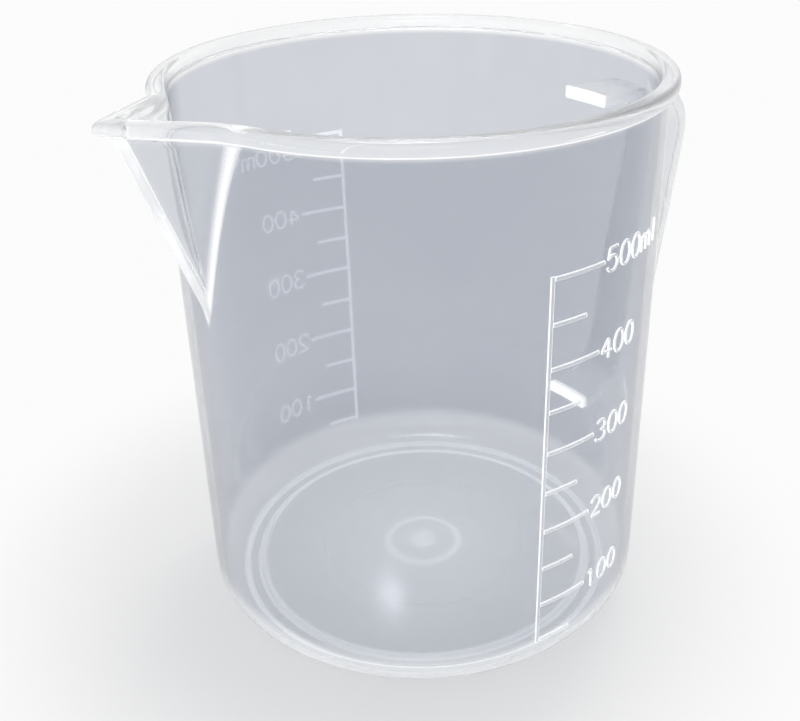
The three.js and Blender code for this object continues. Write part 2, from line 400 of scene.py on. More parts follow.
# A flat side of the spout in polar form, its fold rounded by the softness
squared = calc(turned, "ADD", calc(turned, "POWER", turn, 2), calc(turned, "POWER", given["Softness"], 2))
away = calc(turned, "SUBTRACT", calc(turned, "SQRT", squared), given["Softness"])
aside = calc(turned, "MINIMUM", away, 1.0)
sloped = calc(turned, "MULTIPLY", calc(turned, "SINE", aside), given["Slope"])
side = calc(turned, "DIVIDE", fold, calc(turned, "ADD", calc(turned, "COSINE", aside), sloped))
reach = calc(turned, "SMOOTH_MAX", station.outputs["X"], side, hollow)
back = calc(turned, "MULTIPLY", reach, calc(turned, "COSINE", turn))
stands_out = calc(turned, "SUBTRACT", side, station.outputs["X"])
out_share = add_node(turned, "ShaderNodeMapRange", {"Value": stands_out, "From Max": given["Lip Length"]})
spot = add_node(
    turned,
    "ShaderNodeCombineXYZ",
    {
        "X": calc(turned, "SUBTRACT", given["Axis"], back),
        "Y": calc(turned, "MULTIPLY", reach, calc(turned, "SINE", turn)),
        "Z": calc(turned, "MULTIPLY_ADD", lift, out_share.outputs[0], station.outputs["Z"]),
    },
)


def within(tree, value, middle, half, fade):
    """1 where a value lies near the middle, going down to 0 beyond half on either side."""
    away_from = calc(tree, "ABSOLUTE", calc(tree, "SUBTRACT", value, middle))
    node = add_node(
        tree,
        "ShaderNodeMapRange",
        {"Value": away_from, "From Min": half, "From Max": half + fade, "To Min": 1.0, "To Max": 0.0},
        interpolation_type="SMOOTHSTEP",
    )
    return node.outputs[0]


# Where light gathers, in the fold, lip, spout sides and creases, the plastic is painted paler, and milky
# with a painted glow
fold_half, fold_fade = 0.032, 0.006
tip_half, tip_fade = 0.05, 0.06
crease_half, crease_fade = 0.25 * mm, 0.75 * mm
fold_light = 0.7
fold_milk = 0.55
tip_milk = 0.25
least_bead_milk = 0.12
most_wall_milk = 0.05
past_round = add_node(turned, "ShaderNodeMapRange", {"Value": stands_out, "From Max": 2 * mm}).outputs[0]
near_spout = add_node(
    turned,
    "ShaderNodeMapRange",
    {"Value": stands_out, "From Min": -3 * mm, "From Max": -1 * mm},
).outputs[0]
pulled_out = calc(turned, "GREATER_THAN", stands_out, 0)
on_keel = calc(turned, "MULTIPLY", keel, pulled_out)
on_fold = calc(turned, "MULTIPLY", within(turned, turn, 0, fold_half, fold_fade), on_keel)
on_lip = calc(turned, "MULTIPLY", calc(turned, "GREATER_THAN", milk, least_bead_milk), pulled_out)
on_tip = calc(turned, "MULTIPLY", within(turned, turn, 0, tip_half, tip_fade), on_lip)
on_side = calc(turned, "MULTIPLY", given["Spout Light"], past_round)
on_crease = within(turned, stands_out, 0, crease_half, crease_fade)
for mask in (calc(turned, "MULTIPLY", on_fold, fold_light), on_tip, on_side, on_crease):
    light = calc(turned, "MAXIMUM", light, mask)
below_bead = calc(turned, "LESS_THAN", milk, most_wall_milk)
on_wall_crease = calc(turned, "MULTIPLY", on_crease, below_bead)
milky_fold = calc(turned, "MULTIPLY", on_fold, fold_milk)
milky_tip = calc(turned, "MULTIPLY", on_tip, tip_milk)
milky_crease = calc(turned, "MULTIPLY", on_wall_crease, given["Crease Milk"])
for mask in (milky_fold, milky_tip, milky_crease):
    milk = calc(turned, "MAXIMUM", milk, mask)
on_floor = calc(turned, "LESS_THAN", station.outputs["Z"], given["Floor Top"])
made = sheet.outputs["Mesh"]
for name, value in {"light": light, "milk": milk, "drawn": near_spout, "gritty": on_floor}.items():
    made = add_node(
        turned, "GeometryNodeStoreNamedAttribute", {"Geometry": made, "Name": name, "Value": value}
    ).outputs[0]
moved = add_node(
    turned, "GeometryNodeSetPosition", {"Geometry": made, "Position": spot.outputs[0]}
)
joined = add_node(
    turned, "GeometryNodeMergeByDistance", {"Geometry": moved.outputs[0], "Distance": 0.001 * mm}
)
outward = add_node(turned, "GeometryNodeFlipFaces", {"Mesh": joined.outputs[0]})
smooth = add_node(turned, "GeometryNodeSetShadeSmooth", {"Geometry": outward.outputs[0]})
close_tree(turned, smooth.outputs[0], given["Material"])

# What moulded plastic shows close up: clouds of haze, upright ripples where it flowed, and fine speckles
moulded = bpy.data.node_groups.new("moulded_surface", "ShaderNodeTree")
usual_sizes = {
    "Cloud Size": 60.0,
    "Ripple Size": 300.0,
    "Ripple Stretch": 0.06,
    "Speckle Size": 1800.0,
}
for name, start in usual_sizes.items():
    made = moulded.interface.new_socket(name=name, in_out="INPUT", socket_type="NodeSocketFloat")
    made.default_value = start
for name in ("Cloud", "Ripple", "Speckle"):
    moulded.interface.new_socket(name=name, in_out="OUTPUT", socket_type="NodeSocketFloat")
asked = moulded.nodes.new("NodeGroupInput").outputs
spots = moulded.nodes.new("ShaderNodeTexCoord").outputs["Object"]
cloud = add_node(
    moulded,
    "ShaderNodeTexNoise",
    {"Vector": spots, "Scale": asked["Cloud Size"], "Detail": 3.0, "Roughness": 0.6},
)
stretch = add_node(moulded, "ShaderNodeCombineXYZ", {"X": 1.0, "Y": 1.0, "Z": asked["Ripple Stretch"]})
drawn_out = add_node(moulded, "ShaderNodeVectorMath", operation="MULTIPLY")
feed(moulded, drawn_out.inputs[0], spots)
feed(moulded, drawn_out.inputs[1], stretch.outputs[0])
ripple = add_node(
    moulded,
    "ShaderNodeTexNoise",
    {"Vector": drawn_out.outputs[0], "Scale": asked["Ripple Size"], "Detail": 2.0},
)
speckle = add_node(
    moulded, "ShaderNodeTexNoise", {"Vector": spots, "Scale": asked["Speckle Size"], "Detail": 0.0}
)
add_node(
    moulded,
    "NodeGroupOutput",
    {"Cloud": cloud.outputs[0], "Ripple": ripple.outputs[0], "Speckle": speckle.outputs[0]},
)


def tinted(tree, factor, first, second):
    """A colour between two colours."""
    mix = add_node(tree, "ShaderNodeMix", data_type="RGBA")
    for socket, value in zip((mix.inputs[0], mix.inputs[6], mix.inputs[7]), (factor, first, second)):
        feed(tree, socket, (*value, 1) if isinstance(value, tuple) else value)
    return mix.outputs[2]


def blended(tree, share, first, second):
    """A surface between two shaders."""
    blend = add_node(tree, "ShaderNodeMixShader", {"Fac": share})
    tree.links.new(first, blend.inputs[1])
    tree.links.new(second, blend.inputs[2])
    return blend.outputs[0]


clearness = 0.95


def plastic(name, tints, milk, painted_glow, shade, gloss, ripple_depth, sizes, shell=None):
    """A moulded plastic, clear or milky by its milk value.

    Tint and gloss drift with the clouds, and ripples bend its reflections. The painted glow is painted
    light, an emission added in milky places for the light they gather, and shade is what is left of lamp
    light that has gone through.
    """
    material = bpy.data.materials.new(name)
    material.use_nodes = True
    tree = material.node_tree
    tree.nodes.clear()
    surface = add_node(tree, "ShaderNodeGroup", node_tree=moulded)
    for socket_name, value in sizes.items():
        surface.inputs[socket_name].default_value = value
    cloud = surface.outputs["Cloud"]
    height = surface.outputs["Ripple"]
    tint = tinted(tree, cloud, *tints)
    if shell:
        # Painted light: where the light attribute is high the tint goes paler, standing in for light
        # gathered at edges, floor and fold
        painted_pale = add_node(tree, "ShaderNodeAttribute", attribute_name="light").outputs["Fac"]
        tint = tinted(tree, painted_pale, tint, shell["painted_pale_tint"])
        facing = add_node(tree, "ShaderNodeLayerWeight", {"Blend": 0.5}).outputs["Facing"]
        slanting = add_node(
            tree, "ShaderNodeMapRange", {"Value": facing, "From Min": shell["slant_from"], "From Max": 1.0}
        ).outputs[0]
        inside = tree.nodes.new("ShaderNodeNewGeometry").outputs["Backfacing"]
        drawn = add_node(tree, "ShaderNodeAttribute", attribute_name="drawn").outputs["Fac"]
        for left_out in (inside, drawn):
            slanting = calc(tree, "MULTIPLY", slanting, calc(tree, "SUBTRACT", 1.0, left_out))
        tint = tinted(tree, slanting, tint, shell["slant_tint"])
        gritty = add_node(tree, "ShaderNodeAttribute", attribute_name="gritty").outputs["Fac"]
        grit = calc(tree, "MULTIPLY", gritty, shell["grit"])
        height = calc(tree, "MULTIPLY_ADD", surface.outputs["Speckle"], grit, height)
    rough = add_node(
        tree, "ShaderNodeMapRange", {"Value": cloud, "To Min": gloss[0], "To Max": gloss[1]}
    ).outputs[0]
    bump = add_node(
        tree, "ShaderNodeBump", {"Height": height, "Strength": 1.0, "Distance": ripple_depth}
    ).outputs[0]

    def body(colour, transmission):
        return add_node(
            tree,
            "ShaderNodeBsdfPrincipled",
            {
                "Base Color": colour,
                "Roughness": rough,
                "Normal": bump,
                "IOR": 1.49,
                "Transmission Weight": transmission,
            },
        ).outputs[0]

    milk_tint = tinted(tree, cloud, *milk)
    lit_through = add_node(tree, "ShaderNodeBsdfTranslucent", {"Color": milk_tint}).outputs[0]
    cloudy = blended(tree, 0.5, body(milk_tint, 0.0), lit_through)
    # Painted glow: an emission in milky places, though the plastic is no lamp
    painted_glow_emission = add_node(tree, "ShaderNodeEmission", {"Color": (*painted_glow, 1), "Strength": 1.0}).outputs[0]
    both = tree.nodes.new("ShaderNodeAddShader")
    tree.links.new(cloudy, both.inputs[0])
    tree.links.new(painted_glow_emission, both.inputs[1])
    milkiness = add_node(tree, "ShaderNodeAttribute", attribute_name="milk").outputs["Fac"]
    seen = blended(tree, milkiness, body(tint, clearness), both.outputs[0])
    path = tree.nodes.new("ShaderNodeLightPath").outputs
    through = add_node(tree, "ShaderNodeBsdfTransparent", {"Color": (*shade, 1)}).outputs[0]
    for ray in ("Is Diffuse Ray", "Is Shadow Ray"):
        seen = blended(tree, path[ray], seen, through)
    add_node(tree, "ShaderNodeOutputMaterial", {"Surface": seen})
    return material


# The milky fold, tip, creases and underside steps of the shell carry a weak painted glow
clear_plastic = plastic(
    "natural_polypropylene",
    tints=((0.66, 0.68, 0.73), (0.72, 0.74, 0.78)),
    milk=((0.88, 0.885, 0.90), (0.93, 0.935, 0.94)),
    shell={
        "painted_pale_tint": (0.97, 0.975, 0.98),
        "slant_tint": (0.10, 0.115, 0.15),
        "slant_from": 0.68,
        "grit": 1.6,
    },
    shade=(0.94, 0.945, 0.95),
    gloss=(0.02, 0.06),
    ripple_depth=0.004 * mm,
    sizes={"Cloud Size": 45.0, "Ripple Size": 260.0, "Ripple Stretch": 0.05},
    painted_glow=(0.25, 0.25, 0.25),
)
cup_shell = grown(
    "cup_shell",
    profile_mesh,
    turned,
    turned_sockets,
    {
        "Points Around": 384,
        "Crowding": 0.7,
        "Axis": axis_x,
        "Slope": spout_slope,
        "Softness": fold_softness,
        "Lip Length": 13 * mm,
        "Spout Light": 0.55,
        "Crease Milk": 0.5,
        "Floor Top": floor_top + 0.1 * mm,
        "Material": clear_plastic,
    },
)
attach(cup_shell, "root")
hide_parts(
    "cup_floor",
    "foot_ring",
    "gate_nub",
    "cup_wall",
    "rim_bead",
    "pouring_spout",
    "spout_lip",
)

# Handle: a flat strap of the same plastic, bent into an ear and grown onto the wall at both ends. It is
# nearly clear along the grip and a little milky in the arms. Its two root faces are milky with a strong
# painted glow, so they look white through the wall; the milky arms carry that glow weakly too.

arm_width = 11.7 * mm
grip_width = 11.8 * mm
strap_rounding = 0.45 * mm
root_depth = 0.06 * mm
upper_corner = 72.2 * mm
upper_droop = 1 * mm
upper_bend = 9.5 * mm
lower_corner = 59.6 * mm
lower_bend = 11.5 * mm
widest_below_arm = 12.1 * mm
strap_path = [
    (axis_x + wall_radius(upper_arm) - root_depth, upper_arm, 0),
    (axis_x + upper_corner, upper_arm - upper_droop, upper_bend),
    (axis_x + lower_corner, lower_arm, lower_bend),
    (axis_x + wall_radius(lower_arm) - root_depth, lower_arm, 0),
]
strap_mesh = bpy.data.meshes.new("handle_path")
strap_mesh.from_pydata([(x, 0, z) for x, z, _ in strap_path], [(0, 1), (1, 2), (2, 3)], [])
bends = strap_mesh.attributes.new("bend", "FLOAT", "POINT")
bends.data.foreach_set("value", [bend for _, _, bend in strap_path])

strap, strap_given, strap_sockets = new_tree(
    "strap_along_path",
    {
        "Geometry": "Geometry",
        "Thickness": "Float",
        "Arm Width": "Float",
        "Grip Width": "Float",
        "Rounding": "Float",
        "Widest Height": "Float",
        "Lower Arm Height": "Float",
        "Upper Arm Height": "Float",
        "Axis": "Float",
        "Wall Radius": "Float",
        "Arm Milk": "Float",
        "Grip Milk": "Float",
        "Lower Root Milk": "Float",
        "Upper Root Milk": "Float",
        "Material": "Material",
    },
)
bend = add_node(strap, "GeometryNodeInputNamedAttribute", {"Name": "bend"}, data_type="FLOAT")
bare_path = add_node(strap, "GeometryNodeMeshToCurve", {"Mesh": strap_given["Geometry"]})
bent_path = add_node(
    strap,
    "GeometryNodeFilletCurve",
    {"Curve": bare_path.outputs[0], "Count": 16, "Radius": bend.outputs[0]},
    mode="POLY",
)
fine_path = add_node(
    strap, "GeometryNodeResampleCurve", {"Curve": bent_path.outputs[0], "Length": 0.8 * mm}, mode="LENGTH"
)
section = add_node(
    strap,
    "GeometryNodeCurvePrimitiveQuadrilateral",
    {"Width": strap_given["Arm Width"], "Height": strap_given["Thickness"]},
)
rounded = add_node(
    strap,
    "GeometryNodeFilletCurve",
    {"Curve": section.outputs[0], "Count": 4, "Radius": strap_given["Rounding"]},
    mode="POLY",
)
fine_section = add_node(strap, "GeometryNodeSubdivideCurve", {"Curve": rounded.outputs[0], "Cuts": 2})
swept = add_node(
    strap,
    "GeometryNodeCurveToMesh",
    {"Curve": fine_path.outputs[0], "Profile Curve": fine_section.outputs[0], "Fill Caps": True},
)
strap_spot = strap.nodes.new("GeometryNodeInputPosition").outputs[0]
strap_at = add_node(strap, "ShaderNodeSeparateXYZ", {"Vector": strap_spot}).outputs
widening = add_node(
    strap,
    "ShaderNodeMapRange",
    {
        "Value": strap_at["Z"],
        "From Min": strap_given["Lower Arm Height"],
        "From Max": strap_given["Widest Height"],
        "To Min": strap_given["Arm Width"],
        "To Max": strap_given["Grip Width"],
    },
)
narrowing = add_node(
    strap,
    "ShaderNodeMapRange",
    {
        "Value": strap_at["Z"],
        "From Min": strap_given["Widest Height"],
        "From Max": strap_given["Upper Arm Height"],
        "To Min": strap_given["Grip Width"],
        "To Max": strap_given["Arm Width"],
    },
    interpolation_type="SMOOTHSTEP",
)
strap_width = calc(strap, "MINIMUM", widening.outputs[0], narrowing.outputs[0])
width_share = calc(strap, "DIVIDE", strap_width, strap_given["Arm Width"])
across = calc(strap, "MULTIPLY", strap_at["Y"], width_share)

# The ends follow the round wall
round_square = calc(strap, "POWER", strap_given["Wall Radius"], 2)
chord = calc(strap, "SQRT", calc(strap, "SUBTRACT", round_square, calc(strap, "POWER", across, 2)))
sag = calc(strap, "SUBTRACT", strap_given["Wall Radius"], chord)
from_axis = calc(strap, "SUBTRACT", strap_at["X"], strap_given["Axis"])
off_wall = calc(strap, "SUBTRACT", from_axis, strap_given["Wall Radius"])
near_wall = add_node(
    strap,
    "ShaderNodeMapRange",
    {
        "Value": off_wall,
        "From Min": 1 * mm,
        "From Max": 5 * mm,
        "To Min": 1.0,
        "To Max": 0.0,
    },
)
seated = calc(strap, "SUBTRACT", strap_at["X"], calc(strap, "MULTIPLY", sag, near_wall.outputs[0]))
strap_place = add_node(
    strap, "ShaderNodeCombineXYZ", {"X": seated, "Y": across, "Z": strap_at["Z"]}
)

# Milkiest at the roots, then along the arms, and the painted glow follows the milk
root_reach = 0.2 * mm
arm_end = 8 * mm
grip_start = 15 * mm
arm_milk = add_node(
    strap,
    "ShaderNodeMapRange",
    {
        "Value": off_wall,
        "From Min": arm_end,
        "From Max": grip_start,
        "To Min": strap_given["Arm Milk"],
        "To Max": strap_given["Grip Milk"],
    },
    interpolation_type="SMOOTHSTEP",
)
root_milk = add_node(
    strap,
    "ShaderNodeMapRange",
    {
        "Value": strap_at["Z"],
        "From Min": strap_given["Lower Arm Height"],
        "From Max": strap_given["Upper Arm Height"],
        "To Min": strap_given["Lower Root Milk"],
        "To Max": strap_given["Upper Root Milk"],
    },
)
at_root = calc(strap, "LESS_THAN", off_wall, root_reach)
milky_root = calc(strap, "MULTIPLY", at_root, root_milk.outputs[0])
strap_milk = calc(strap, "MAXIMUM", arm_milk.outputs[0], milky_root)
clouded = add_node(
    strap,
    "GeometryNodeStoreNamedAttribute",
    {"Geometry": swept.outputs[0], "Name": "milk", "Value": strap_milk},
)
shaped = add_node(
    strap, "GeometryNodeSetPosition", {"Geometry": clouded.outputs[0], "Position": strap_place.outputs[0]}
)
close_tree(strap, shaped.outputs[0], strap_given["Material"])

# Milky places of this plastic carry a strong painted glow, an emission standing in for light gathered in
# the strap
milky_glowing_plastic = plastic(
    "milky_polypropylene",
    tints=((0.68, 0.70, 0.74), (0.74, 0.76, 0.79)),
    milk=((0.94, 0.94, 0.93), (0.97, 0.97, 0.96)),
    gloss=(0.05, 0.12),
    ripple_depth=0.006 * mm,
    sizes={"Cloud Size": 90.0, "Ripple Size": 400.0, "Ripple Stretch": 0.15},
    shade=(0.9, 0.9, 0.9),
    painted_glow=(1.4, 1.36, 1.2),
)
handle_strap = grown(
    "handle_strap",
    strap_mesh,
    strap,
    strap_sockets,
    {
        "Thickness": strap_thickness,
        "Arm Width": arm_width,
        "Grip Width": grip_width,
        "Rounding": strap_rounding,
        "Widest Height": upper_arm - widest_below_arm,
        "Lower Arm Height": lower_arm,
        "Upper Arm Height": upper_arm - strap_thickness / 2,
        "Axis": axis_x,
        "Wall Radius": wall_radius(upper_arm),
        "Arm Milk": 0.12,
        "Grip Milk": 0.03,
        "Lower Root Milk": 1.0,
        "Upper Root Milk": 0.5,
        "Material": milky_glowing_plastic,
    },
)
handle_strap.data.shade_smooth()
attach(handle_strap, "root")
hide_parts("handle")

# Scales: a raised upright line with ten raised marks, cut into the mould so that they stand out of the
# wall, once at the front and once at the back. Every second mark is long and has a number beside it.

scale_low, scale_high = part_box("front_scale")
line_width = 0.9 * mm
relief = 0.4 * mm
rib_rounding = 0.12 * mm
mark_gap = 0.02 * mm
mark_count = 10
first_mark = scale_low.z + line_width / 2
last_mark = scale_high.z - line_width / 2
mark_pitch = (last_mark - first_mark) / (mark_count - 1)
long_mark = 11.6 * mm
short_mark = 7.9 * mm
scale_turns = {"front": math.radians(-92.8), "rear": math.radians(81.5)}

# How milky the sides and tops of the ribs look, milky faces carrying a painted glow, and how far their feet
# stand off the skin of the wall
side_milk = {"front": 0.8, "rear": 1.0}
face_milk = {"front": 0.06, "rear": 0.7}
rib_lift = {"front": 0.015 * mm, "rear": -0.06 * mm}


def on_wall(tree, flat, turn, lift):
    """Wraps what stands on a flat sheet, x across, y out and z up, onto the round wall."""
    spot = tree.nodes.new("GeometryNodeInputPosition").outputs[0]
    at = add_node(tree, "ShaderNodeSeparateXYZ", {"Vector": spot}).outputs
    lean = calc(tree, "MULTIPLY", calc(tree, "SUBTRACT", at["Z"], wall_seat), wall_lean)
    skin = calc(tree, "ADD", lean, calc(tree, "ADD", floor_high.y, lift))
    radius = calc(tree, "ADD", skin, at["Y"])
    angle = calc(tree, "ADD", calc(tree, "DIVIDE", at["X"], skin), turn)
    sideways = calc(tree, "MULTIPLY", radius, calc(tree, "COSINE", angle))
    place = add_node(
        tree,
        "ShaderNodeCombineXYZ",
        {
            "X": calc(tree, "ADD", sideways, axis_x),
            "Y": calc(tree, "MULTIPLY", radius, calc(tree, "SINE", angle)),
            "Z": at["Z"],
        },
    )
    return add_node(
        tree, "GeometryNodeSetPosition", {"Geometry": flat, "Position": place.outputs[0]}
    ).outputs[0]


def raised_ribs(tree, paths, width, height, rounding, given):
    """Ribs along paths on the flat sheet, with milky sloping sides and a clearer flat top."""
    foot = width / 2
    crown = foot - 0.3 * height
    section = add_node(
        tree,
        "GeometryNodeCurvePrimitiveQuadrilateral",
        {
            "Point 1": (0, -foot, 0),
            "Point 2": (height, -crown, 0),
            "Point 3": (height, crown, 0),
            "Point 4": (0, foot, 0),
        },
        mode="POINTS",
    )
    soft = add_node(
        tree,
        "GeometryNodeFilletCurve",
        {"Curve": section.outputs[0], "Count": 3, "Radius": rounding, "Limit Radius": True},
        mode="POLY",
    )
    upright = add_node(
        tree, "GeometryNodeSetCurveNormal", {"Curve": paths, "Normal": (0, 1, 0)}, mode="FREE"
    )
    ribs = add_node(
        tree,
        "GeometryNodeCurveToMesh",
        {"Curve": upright.outputs[0], "Profile Curve": soft.outputs[0], "Fill Caps": True},
    )
    outward = add_node(tree, "GeometryNodeFlipFaces", {"Mesh": ribs.outputs[0]})
    facing = add_node(
        tree, "ShaderNodeSeparateXYZ", {"Vector": tree.nodes.new("GeometryNodeInputNormal").outputs[0]}
    )
    sideways = add_node(
        tree,
        "ShaderNodeMapRange",
        {
            "Value": calc(tree, "ABSOLUTE", facing.outputs["Y"]),
            "From Min": 0.8,
            "From Max": 0.95,
            "To Min": given["Side Milk"],
            "To Max": given["Face Milk"],
        },
    )
    return add_node(
        tree,
        "GeometryNodeStoreNamedAttribute",
        {"Geometry": outward.outputs[0], "Name": "milk", "Value": sideways.outputs[0]},
        domain="FACE",
    ).outputs[0]


comb, comb_given, comb_sockets = new_tree(
    "raised_scale",
    {
        "Geometry": "Geometry",
        "Turn": "Float",
        "Mark Count": "Int",
        "First Mark": "Float",
        "Mark Pitch": "Float",
        "Long Mark": "Float",
        "Short Mark": "Float",
        "Side Milk": "Float",
        "Face Milk": "Float",
        "Rib Lift": "Float",
        "Material": "Material",
    },
)
line_across = -long_mark / 2 + line_width / 2
marks_from = -long_mark / 2 + line_width + mark_gap
line = add_node(
    comb,
    "GeometryNodeCurvePrimitiveLine",
    {
        "Start": (line_across, 0, first_mark - line_width / 2),
        "End": (line_across, 0, last_mark + line_width / 2),
    },
)
mark_start = add_node(comb, "ShaderNodeCombineXYZ", {"X": marks_from, "Z": comb_given["First Mark"]})
mark_step = add_node(comb, "ShaderNodeCombineXYZ", {"Z": comb_given["Mark Pitch"]})
mark_spots = add_node(
    comb,
    "GeometryNodeMeshLine",
    {
        "Count": comb_given["Mark Count"],
        "Start Location": mark_start.outputs[0],
        "Offset": mark_step.outputs[0],
    },
)
one_mark = add_node(comb, "GeometryNodeCurvePrimitiveLine", {"Start": (0, 0, 0), "End": (1, 0, 0)})
mark_number = comb.nodes.new("GeometryNodeInputIndex").outputs[0]
mark_length = add_node(
    comb,
    "GeometryNodeSwitch",
    {
        "Switch": calc(comb, "MODULO", mark_number, 2),
        "False": comb_given["Short Mark"],
        "True": comb_given["Long Mark"],
    },
    input_type="FLOAT",
)
mark_scale = add_node(
    comb,
    "ShaderNodeCombineXYZ",
    {"X": calc(comb, "SUBTRACT", mark_length.outputs[0], line_width), "Y": 1.0, "Z": 1.0},
)
mark_lines = add_node(
    comb,
    "GeometryNodeInstanceOnPoints",
    {
        "Points": mark_spots.outputs[0],
        "Instance": one_mark.outputs[0],
        "Scale": mark_scale.outputs[0],
    },
)
real_lines = add_node(comb, "GeometryNodeRealizeInstances", {"Geometry": mark_lines.outputs[0]})
all_lines = add_node(comb, "GeometryNodeJoinGeometry")
comb.links.new(line.outputs[0], all_lines.inputs[0])
comb.links.new(real_lines.outputs[0], all_lines.inputs[0])
fine_lines = add_node(
    comb, "GeometryNodeResampleCurve", {"Curve": all_lines.outputs[0], "Length": 0.8 * mm}, mode="LENGTH"
)
ribs = raised_ribs(comb, fine_lines.outputs[0], line_width, relief, rib_rounding, comb_given)
wrapped_ribs = on_wall(comb, ribs, comb_given["Turn"], comb_given["Rib Lift"])
close_tree(comb, wrapped_ribs, comb_given["Material"])

# Milky faces of the ribs and numbers carry a painted glow, so they show white through the wall
relief_plastic = plastic(
    "raised_polypropylene",
    tints=((0.95, 0.96, 0.97), (0.98, 0.985, 0.99)),
    milk=((0.90, 0.91, 0.93), (0.95, 0.96, 0.97)),
    gloss=(0.06, 0.14),
    ripple_depth=0.004 * mm,
    sizes={"Cloud Size": 120.0, "Ripple Size": 500.0, "Ripple Stretch": 0.3},
    shade=(0.95, 0.95, 0.95),
    painted_glow=(0.35, 0.35, 0.35),
)
for side_name, scale_turn in scale_turns.items():
    scale_ribs = grown(
        side_name + "_scale_ribs",
        bpy.data.meshes.new(side_name + "_scale_ribs"),
        comb,
        comb_sockets,
        {
            "Turn": scale_turn,
            "Mark Count": mark_count,
            "First Mark": first_mark,
            "Mark Pitch": mark_pitch,
            "Long Mark": long_mark,
            "Short Mark": short_mark,
            "Side Milk": side_milk[side_name],
            "Face Milk": face_milk[side_name],
            "Rib Lift": rib_lift[side_name],
            "Material": relief_plastic,
        },
    )
    scale_ribs.data.shade_flat()
    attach(scale_ribs, "root")
    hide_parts(side_name + "_scale")

# Numbers: millilitres beside every second mark, engraved in the mould with a small round cutter, so each
# stroke is a raised rib of one width with round turns. The highest one carries the unit.

digit_height = 4.3 * mm
digit_width = 2.9 * mm
digit_pitch = 3.75 * mm
stroke_width = 0.62 * mm
stroke_relief = 0.35 * mm
stroke_rounding = 0.1 * mm
turn_rounding = 0.3 * mm
gap_after_mark = 0.8 * mm
millilitres_per_mark = 50


def bow(centre, radii, start, end, steps=18):
    """Points of an elliptic arc, angles in degrees."""
    turns = [math.radians(start + (end - start) * step / steps) for step in range(steps + 1)]
    return [(centre[0] + radii[0] * math.cos(t), centre[1] + radii[1] * math.sin(t)) for t in turns]


# Strokes of each character in a box one wide and one high; the m is wider and the l is a line
strokes = {
    "0": [bow((0.5, 0.5), (0.48, 0.5), 0, 360, 32)],
    "1": [[(0.22, 0.78), (0.55, 1.0), (0.55, 0.0)]],
    "2": [bow((0.5, 0.71), (0.46, 0.29), 165, -35) + [(0.04, 0.0), (0.98, 0.0)]],
    "3": [bow((0.47, 0.755), (0.42, 0.245), 150, -85) + bow((0.47, 0.26), (0.48, 0.26), 82, -158)],
    "4": [[(0.72, 0.0), (0.72, 1.0), (0.0, 0.31), (1.0, 0.31)]],
    "5": [[(0.92, 1.0), (0.2, 1.0), (0.08, 0.5)] + bow((0.48, 0.33), (0.47, 0.33), 138, -155)],
    "m": [
        [(0.0, 0.0), (0.0, 0.68)],
        [(0.2, 0.62)] + bow((0.42, 0.45), (0.22, 0.23), 120, 0, 8) + [(0.64, 0.0)],
        [(0.84, 0.62)] + bow((1.06, 0.45), (0.22, 0.23), 120, 0, 8) + [(1.28, 0.0)],
    ],
    "l": [[(0.0, 0.0), (0.0, 1.0)]],
}
advance = {"m": 1.62, "l": 0.5}


def number_lines(text, left, middle):
    """Vertices and edges of a number that starts at left and is centred on a height."""
    vertices, edges = [], []
    for character in text:
        for stroke in strokes[character]:
            closed = math.dist(stroke[0], stroke[-1]) < 1e-6
            points = stroke[:-1] if closed else stroke
            first = len(vertices)
            for x, z in points:
                vertices.append((left + x * digit_width, 0, middle + (z - 0.5) * digit_height))
            last = len(vertices) - 1
            edges += [(index, index + 1) for index in range(first, last)]
            edges += [(last, first)] if closed else []
        left += digit_pitch * advance.get(character, 1)
    return vertices, edges


writing, writing_given, writing_sockets = new_tree(
    "raised_numbers",
    {
        "Geometry": "Geometry",
        "Turn": "Float",
        "Side Milk": "Float",
        "Face Milk": "Float",
        "Rib Lift": "Float",
        "Material": "Material",
    },
)
pen = add_node(writing, "GeometryNodeMeshToCurve", {"Mesh": writing_given["Geometry"]})
eased = add_node(
    writing,
    "GeometryNodeFilletCurve",
    {"Curve": pen.outputs[0], "Count": 3, "Radius": turn_rounding, "Limit Radius": True},
    mode="POLY",
)
written = raised_ribs(
    writing, eased.outputs[0], stroke_width, stroke_relief, stroke_rounding, writing_given
)
wrapped_numbers = on_wall(writing, written, writing_given["Turn"], writing_given["Rib Lift"])
close_tree(writing, wrapped_numbers, writing_given["Material"])

for side_name, scale_turn in scale_turns.items():
    vertices, edges = [], []
    for index in range(1, mark_count, 2):
        amount = millilitres_per_mark * (index + 1)
        text = f"{amount}ml" if index == mark_count - 1 else str(amount)
        more, links = number_lines(text, long_mark / 2 + gap_after_mark, first_mark + index * mark_pitch)
        edges += [(a + len(vertices), b + len(vertices)) for a, b in links]
        vertices += more
    number_mesh = bpy.data.meshes.new(side_name + "_numbers")
    number_mesh.from_pydata(vertices, edges, [])
    numbers = grown(
        side_name + "_numbers",
        number_mesh,
        writing,
        writing_sockets,
        {
            "Turn": scale_turn,
            "Side Milk": side_milk[side_name],
            "Face Milk": face_milk[side_name],
            "Rib Lift": rib_lift[side_name],
            "Material": relief_plastic,
        },
    )
    numbers.data.shade_flat()
    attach(numbers, "root")

# Studio: a pale floor that fades to white round the cup, in a white room. A small softbox hangs above, the
# key stands behind on the handle's side, a weak softbox stands in front on the spout's side, and a small
# lamp behind makes the glint on the floor of the cup.


def seen_by_eye(tree):
    """1 for what the camera sees, also in gloss and through plastic, 0 for light falling on things."""
    path = tree.nodes.new("ShaderNodeLightPath").outputs
    seen = calc(tree, "MAXIMUM", path["Is Camera Ray"], path["Is Glossy Ray"])
    seen = calc(tree, "MAXIMUM", seen, path["Is Transmission Ray"])
    return calc(tree, "MULTIPLY", seen, calc(tree, "LESS_THAN", path["Diffuse Depth"], 0.5))


